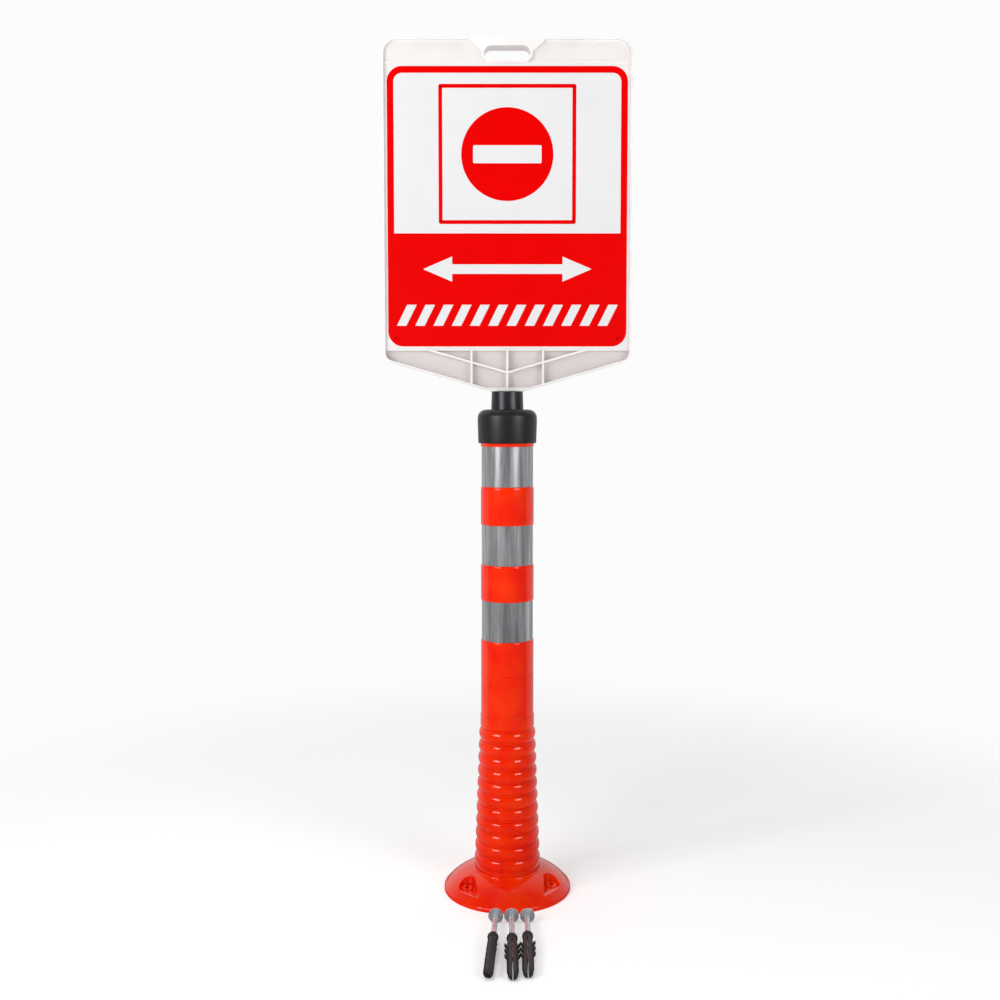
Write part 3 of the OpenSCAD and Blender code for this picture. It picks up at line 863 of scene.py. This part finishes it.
@dataclass
class Adapter:
    """The rubber cap and the neck held under it. Sizes in millimetres."""

    inner_r: float = 41.35
    foot_z: float = 706.0
    foot_r: float = 45.0
    belly_r: float = 46.0
    belly_z: float = 738.0
    top_z: float = 758.0
    shoulder_r: float = 13.0
    shoulder_steps: int = 16
    hole_r: float = 25.1
    roof_z: float = 753.0
    foot_inner_round: float = 0.6
    foot_outer_round: float = 2.0
    hole_round: float = 0.8

    def build(self) -> None:
        """Turns the cap, and dresses the neck that the CAD gives."""
        corners = [
            (self.inner_r, self.foot_z, self.foot_inner_round),
            (self.foot_r, self.foot_z, self.foot_outer_round),
            (self.belly_r, self.belly_z, 0.0),
        ]
        centre_r, centre_z = self.belly_r - self.shoulder_r, self.top_z - self.shoulder_r
        for i in range(self.shoulder_steps + 1):
            turn = math.radians(90 * i / self.shoulder_steps)
            radius = centre_r + self.shoulder_r * math.cos(turn)
            corners.append((radius, centre_z + self.shoulder_r * math.sin(turn), 0.0))
        corners += [
            (self.hole_r, self.top_z, self.hole_round),
            (self.hole_r, self.roof_z, 0.0),
            (self.inner_r, self.roof_z, 0.0),
        ]
        cap = Bench.turned("cap_moulding", rounded(corners))
        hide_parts("adapter_cap")
        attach(cap, "adapter")
        Bench.dress(cap, CAP_RUBBER, Slot.CAP)
        Bench.dress_node("neck_socket", NECK_PLASTIC)
        LOG.info("made %s and dressed neck_socket", cap.name)


@dataclass
class Sign:
    """The white moulding and its printed label. Sizes in millimetres, heights from the floor."""

    board_round: float = 0.5
    soft_deg: float = 20.0
    corner_steps: int = 14
    label_w: float = 365.0
    label_low: float = 854.5
    label_high: float = 1275.45
    label_r: float = 23.0
    label_back_y: float = -9.5
    label_t: float = 0.3
    ink_t: float = 0.1
    border_w: float = 10.0
    field_top_z: float = 1025.9
    frame_side: float = 209.0
    frame_z: float = 1144.5
    frame_line: float = 5.8
    frame_r: float = 3.5
    disc_r: float = 70.0
    disc_sides: int = 96
    bar_w: float = 104.0
    bar_h: float = 27.0
    bar_r: float = 2.0
    arrow_w: float = 256.0
    arrow_h: float = 38.0
    arrow_z: float = 972.0
    head_share: float = 1.15
    shaft_share: float = 0.38
    tip_share: float = 0.02
    hazard_w: float = 336.0
    hazard_h: float = 32.0
    hazard_z: float = 902.0
    hazard_count: int = 12
    hazard_share: float = 0.52
    hazard_lean: float = 0.5

    def plate(
        self,
        name: str,
        size: tuple[float, float],
        middle: tuple[float, float],
        back_y: float,
        depth: float,
        corner_r: float = 0.0,
        line_w: float = 0.0,
    ) -> bpy.types.Object:
        """Makes a thin upright plate, or a frame of it.

        Args:
            name: Name of the piece.
            size: Width and height.
            middle: Where its middle is along X and in height.
            back_y: Where its back face lies.
            depth: Its thickness, towards the viewer.
            corner_r: Radius of its corners.
            line_w: Width of its line where it is a frame, or zero where it is solid.

        Returns:
            The plate.
        """
        Bench.clear()
        bpy.ops.mesh.primitive_plane_add(
            size=1, location=(middle[0] * MM, back_y * MM, middle[1] * MM), rotation=(math.pi / 2, 0, 0)
        )
        piece = bpy.context.object
        piece.name = name
        piece.scale = (size[0] * MM, size[1] * MM, 1)
        bpy.ops.object.transform_apply(location=True, rotation=True, scale=True)
        Bench.edit(piece)
        if corner_r > 0:
            bpy.ops.mesh.bevel(affect="VERTICES", offset=corner_r * MM, segments=self.corner_steps)
        if line_w > 0:
            bpy.ops.mesh.inset(thickness=line_w * MM, depth=0)
            bpy.ops.mesh.delete(type="FACE")
        self.thicken(piece, depth)
        return piece

    def thicken(self, piece: bpy.types.Object, depth: float) -> None:
        """Gives a flat outline its thickness, towards the viewer, and settles it.

        Args:
            piece: A flat piece that faces the viewer.
            depth: Its thickness.
        """
        Bench.apply_modifier(
            piece, "SOLIDIFY", {"thickness": depth * MM, "offset": 1.0, "use_even_offset": True}
        )
        Bench.edit(piece)
        bpy.ops.mesh.normals_make_consistent(inside=False)
        Bench.settle(piece, self.soft_deg)

    def disc(
        self, name: str, radius: float, middle_z: float, back_y: float, depth: float
    ) -> bpy.types.Object:
        """Makes a thin round plate.

        Args:
            name: Name of the piece.
            radius: Its radius.
            middle_z: Height of its middle.
            back_y: Where its back face lies.
            depth: Its thickness.

        Returns:
            The disc.
        """
        Bench.clear()
        bpy.ops.mesh.primitive_circle_add(
            vertices=self.disc_sides,
            radius=radius * MM,
            fill_type="NGON",
            location=(0, back_y * MM, middle_z * MM),
            rotation=(math.pi / 2, 0, 0),
        )
        piece = bpy.context.object
        piece.name = name
        self.thicken(piece, depth)
        return piece

    def arrow(self, name: str, back_y: float) -> bpy.types.Object:
        """Makes a level arrow with a head at each end.

        Args:
            name: Name of the piece.
            back_y: Where its back face lies.

        Returns:
            The arrow.
        """
        head_l = self.arrow_h * self.head_share
        size = (self.arrow_w - 2 * head_l, self.arrow_h * self.shaft_share)
        shaft = self.plate(name, size, (0, self.arrow_z), back_y, self.ink_t)
        Bench.edit(shaft)
        for side in (-1, 1):
            bpy.ops.mesh.select_all(action="DESELECT")
            end_x = side * (self.arrow_w / 2 - head_l) * MM
            bpy.ops.object.mode_set(mode="OBJECT")
            for face in shaft.data.polygons:
                face.select = abs(face.center.x - end_x) < 1e-6
            bpy.ops.object.mode_set(mode="EDIT")
            middle = (end_x, (back_y - self.ink_t / 2) * MM, self.arrow_z * MM)
            bpy.ops.mesh.extrude_region_move(TRANSFORM_OT_translate={"value": (0, 0, 0)})
            bpy.ops.transform.resize(value=(1, 1, 1 / self.shaft_share), center_override=middle)
            bpy.ops.mesh.extrude_region_move(TRANSFORM_OT_translate={"value": (side * head_l * MM, 0, 0)})
            bpy.ops.transform.resize(value=(1, 1, self.tip_share), center_override=middle)
        Bench.settle(shaft, self.soft_deg)
        return shaft

    def hazard_bar(self, name: str, middle_x: float, back_y: float) -> bpy.types.Object:
        """Makes one slanted bar.

        Args:
            name: Name of the piece.
            middle_x: Where its middle is along X.
            back_y: Where its back face lies.

        Returns:
            The bar.
        """
        size = (self.hazard_w / self.hazard_count * self.hazard_share, self.hazard_h)
        lean = self.hazard_h * self.hazard_lean * MM
        bar = self.plate(name, size, (middle_x, self.hazard_z), back_y, self.ink_t)
        Bench.edit(bar)
        bpy.ops.mesh.select_all(action="DESELECT")
        bpy.ops.object.mode_set(mode="OBJECT")
        for corner in bar.data.vertices:
            corner.select = corner.co.z > self.hazard_z * MM
        bpy.ops.object.mode_set(mode="EDIT")
        bpy.ops.transform.translate(value=(lean, 0, 0))
        bpy.ops.mesh.select_all(action="SELECT")
        bpy.ops.transform.translate(value=(-lean / 2, 0, 0))
        Bench.settle(bar, self.soft_deg)
        return bar

    def printed_label(self) -> None:
        """Lays the white film and its red and white printing."""
        front_y = self.label_back_y - self.label_t
        ink_y = front_y - self.ink_t
        middle_z = (self.label_low + self.label_high) / 2
        height = self.label_high - self.label_low
        size, middle, ink_t = (self.label_w, height), (0, middle_z), self.ink_t
        film = self.plate("label_film", size, middle, self.label_back_y, self.label_t, self.label_r)
        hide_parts("sign_label")
        border = self.plate("label_border", size, middle, front_y, ink_t, self.label_r, self.border_w)
        field_low = self.label_low + self.border_w
        size = (self.label_w - 2 * self.border_w, self.field_top_z - field_low)
        field = self.plate("label_field", size, (0, (self.field_top_z + field_low) / 2), front_y, ink_t)
        size, middle = (self.frame_side, self.frame_side), (0, self.frame_z)
        outline = self.plate("label_frame", size, middle, front_y, ink_t, self.frame_r, self.frame_line)
        disc = self.disc("label_disc", self.disc_r, self.frame_z, front_y, ink_t)
        bar = self.plate("label_disc_bar", (self.bar_w, self.bar_h), middle, ink_y, ink_t, self.bar_r)
        arrow = self.arrow("label_arrow", ink_y)
        pitch = self.hazard_w / self.hazard_count
        bars = [
            self.hazard_bar(f"label_hazard_bar_{i + 1}", (i - (self.hazard_count - 1) / 2) * pitch, ink_y)
            for i in range(self.hazard_count)
        ]
        red, white = (border, field, outline, disc), (film, bar, arrow, *bars)
        for pieces, finish in ((red, LABEL_RED), (white, LABEL_WHITE)):
            for piece in pieces:
                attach(piece, "sign")
                Bench.dress(piece, finish, Slot.LABEL)
                LOG.info("laid %s", piece.name)

    def build(self) -> None:
        """Rounds the moulding's edges and lays the label on it."""
        board = Bench.softened("sign_board", "sign_moulding", self.board_round, self.soft_deg)
        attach(board, "sign")
        Bench.dress(board, SIGN_WHITE, Slot.SIGN)
        LOG.info("made %s", board.name)
        self.printed_label()


@dataclass
class FloorAnchors:
    """The three screws, washers and plugs that lie before the base."""

    places: tuple[str, ...] = ("left", "middle", "right")

    def build(self) -> None:
        """Dresses the nine pieces that the CAD gives."""
        for place in self.places:
            Bench.dress_node(f"anchor_screw_{place}", ZINC)
            Bench.dress_node(f"anchor_washer_{place}", ZINC)
            Bench.dress_node(f"anchor_plug_{place}", PLUG_NYLON)
            LOG.info("dressed the %s anchor", place)


@dataclass
class Studio:
    """Camera, floor and soft lights. Lengths in metres."""

    camera_place: tuple[float, float, float] = (0.0, -1.686, 0.741)
    camera_tilt_deg: float = 3.72
    focal_px: float = 1084.35
    principal_px: tuple[float, float] = (507.3, 491.05)
    sensor_mm: float = 36.0
    view_end: float = 200.0
    box_turn_deg: float = 43.0
    box_distance: float = 2.0
    box_low_z: float = 0.70
    box_size: tuple[float, float] = (0.9, 0.9)
    box_power: tuple[float, float] = (16.0, 13.0)
    top_place: tuple[float, float, float] = (-0.6, -0.4, 3.2)
    top_aim_z: float = 0.6
    top_size: float = 1.8
    top_power: float = 30.0
    fill_place: tuple[float, float, float] = (-2.0, -1.1, 1.7)
    fill_aim_z: float = 0.9
    fill_size: float = 0.3
    fill_power: float = 10.0
    wall_strength: float = 0.72
    wall_in_front: str = "303034"
    wall_beside: str = "58585c"
    wall_beside_share: float = 0.5
    wall_behind_share: float = 0.88
    floor_size: float = 60.0
    floor_clear_r: float = 0.45
    floor_fade_r: float = 1.5
    floor_colour: str = "f6f6f6"
    floor_glow: float = 0.30
    floor_seen_in_front: str = "3c3c40"
    floor_seen_behind: str = "b4b4b4"
    floor_seen_ys: tuple[float, float] = (-0.1, 0.3)
    backdrop: str = "fcfcfc"

    def build_camera(self) -> None:
        """Sets the camera at the photograph's place, with its principal point."""
        data = bpy.data.cameras.new("camera")
        data.sensor_width = self.sensor_mm
        data.lens = self.focal_px / PHOTO_SIDE * data.sensor_width
        data.shift_x = (PHOTO_SIDE / 2 - self.principal_px[0]) / PHOTO_SIDE
        data.shift_y = (self.principal_px[1] - PHOTO_SIDE / 2) / PHOTO_SIDE
        data.clip_end = self.view_end
        camera = bpy.data.objects.new("camera", data)
        camera.location = self.camera_place
        camera.rotation_euler = (math.radians(90 - self.camera_tilt_deg), 0, 0)
        bpy.context.scene.collection.objects.link(camera)
        bpy.context.scene.camera = camera

    def add_soft_box(
        self,
        name: str,
        place: tuple[float, float, float],
        aim: Vector,
        size: tuple[float, float],
        power: float,
    ) -> None:
        """Adds one soft box.

        Args:
            name: Name of the light.
            place: Its middle.
            aim: The point that it faces.
            size: Its width and height.
            power: Its power in watts.
        """
        data = bpy.data.lights.new(name, "AREA")
        data.shape = "RECTANGLE"
        data.size, data.size_y = size
        data.energy = power
        light = bpy.data.objects.new(name, data)
        light.location = place
        light.rotation_euler = (aim - Vector(place)).to_track_quat("-Z", "Y").to_euler()
        bpy.context.scene.collection.objects.link(light)

    def build_lights(self) -> None:
        """Sets a soft box on each side of the camera, one overhead, and pale walls all round."""
        turn = math.radians(self.box_turn_deg)
        for name, side, power in zip(("box_left", "box_right"), (-1, 1), self.box_power):
            place = (
                side * self.box_distance * math.sin(turn),
                -self.box_distance * math.cos(turn),
                self.box_low_z + self.box_size[1] / 2,
            )
            self.add_soft_box(name, place, Vector((0, 0, place[2])), self.box_size, power)
        aim, size = Vector((0, 0, self.top_aim_z)), (self.top_size, self.top_size)
        self.add_soft_box("box_top", self.top_place, aim, size, self.top_power)
        aim, size = Vector((0, 0, self.fill_aim_z)), (self.fill_size, self.fill_size)
        self.add_soft_box("fill_left", self.fill_place, aim, size, self.fill_power)
        for name in ("box_top", "fill_left"):
            bpy.data.objects[name].visible_glossy = False
        world = bpy.data.worlds.new("studio")
        world.use_nodes = True
        tree = world.node_tree
        tree.nodes.clear()
        ray = add_node(tree, "ShaderNodeTexCoord").outputs["Generated"]
        depth = add_node(tree, "ShaderNodeSeparateXYZ", links={0: ray}).outputs["Y"]
        share = add_node(tree, "ShaderNodeMapRange", {"From Min": -1.0, "From Max": 1.0}, {"Value": depth})
        stops = [
            (0.0, linear(self.wall_in_front)),
            (self.wall_beside_share, linear(self.wall_beside)),
            (self.wall_behind_share, linear(self.backdrop)),
        ]
        walls = add_node(tree, "ShaderNodeValToRGB", {"stops": stops}, {"Fac": share.outputs["Result"]})
        around = add_node(
            tree, "ShaderNodeBackground", {"Strength": self.wall_strength}, {"Color": walls.outputs["Color"]}
        )
        behind = add_node(tree, "ShaderNodeBackground", {"Color": linear(self.backdrop)})
        seen = add_node(tree, "ShaderNodeLightPath").outputs["Is Camera Ray"]
        light = add_node(
            tree, "ShaderNodeMixShader", links={0: seen, 1: around.outputs[0], 2: behind.outputs[0]}
        )
        add_node(tree, "ShaderNodeOutputWorld", links={"Surface": light.outputs[0]})
        bpy.context.scene.world = world

    def build_floor(self) -> None:
        """Lays a pale floor that takes soft shadows near the post and fades into the backdrop."""
        Bench.clear()
        bpy.ops.mesh.primitive_plane_add(size=self.floor_size)
        floor = bpy.context.object
        floor.name = "floor"
        material = bpy.data.materials.new("pale_matt_paint")
        material.use_nodes = True
        tree = material.node_tree
        tree.nodes.clear()
        place = add_node(tree, "ShaderNodeTexCoord").outputs["Object"]
        length = add_node(tree, "ShaderNodeVectorMath", {"operation": "LENGTH"}, {0: place})
        fade = add_node(
            tree,
            "ShaderNodeMapRange",
            {
                "interpolation_type": "SMOOTHSTEP",
                "From Min": self.floor_clear_r,
                "From Max": self.floor_fade_r,
            },
            {"Value": length.outputs["Value"]},
        )
        paint = add_node(
            tree,
            "ShaderNodeBsdfPrincipled",
            {
                "Base Color": linear(self.floor_colour),
                "Roughness": 0.9,
                "Specular IOR Level": 0.1,
                "Emission Color": linear(self.backdrop),
                "Emission Strength": self.floor_glow,
            },
        )
        sweep = add_node(tree, "ShaderNodeEmission", {"Color": linear(self.backdrop)})
        mixed = add_node(
            tree, "ShaderNodeMixShader", links={0: fade.outputs[0], 1: paint.outputs[0], 2: sweep.outputs[0]}
        )
        depth = add_node(tree, "ShaderNodeSeparateXYZ", links={0: place}).outputs["Y"]
        front_y, back_y = self.floor_seen_ys
        behind = add_node(
            tree, "ShaderNodeMapRange", {"From Min": front_y, "From Max": back_y}, {"Value": depth}
        )
        stops = [(0.0, linear(self.floor_seen_in_front)), (1.0, linear(self.floor_seen_behind))]
        reflected = add_node(tree, "ShaderNodeValToRGB", {"stops": stops}, {"Fac": behind.outputs["Result"]})
        dim = add_node(tree, "ShaderNodeEmission", links={"Color": reflected.outputs["Color"]})
        seen = add_node(tree, "ShaderNodeLightPath").outputs["Is Glossy Ray"]
        shown = add_node(tree, "ShaderNodeMixShader", links={0: seen, 1: mixed.outputs[0], 2: dim.outputs[0]})
        add_node(tree, "ShaderNodeOutputMaterial", links={"Surface": shown.outputs[0]})
        floor.data.materials.append(material)

    def build(self) -> None:
        """Sets up the studio, with colours shown as they are."""
        self.build_camera()
        self.build_lights()
        self.build_floor()
        bpy.context.scene.view_settings.view_transform = "Standard"
        LOG.info("set up the studio")


def main() -> None:
    """Builds the studio and every sub-assembly, in order."""
    logging.basicConfig(level=logging.INFO, format="%(message)s")
    for assembly in (Studio(), PostMoulding(), ReflectiveBands(), Adapter(), Sign(), FloorAnchors()):
        assembly.build()


if __name__ == "__main__":
    main()
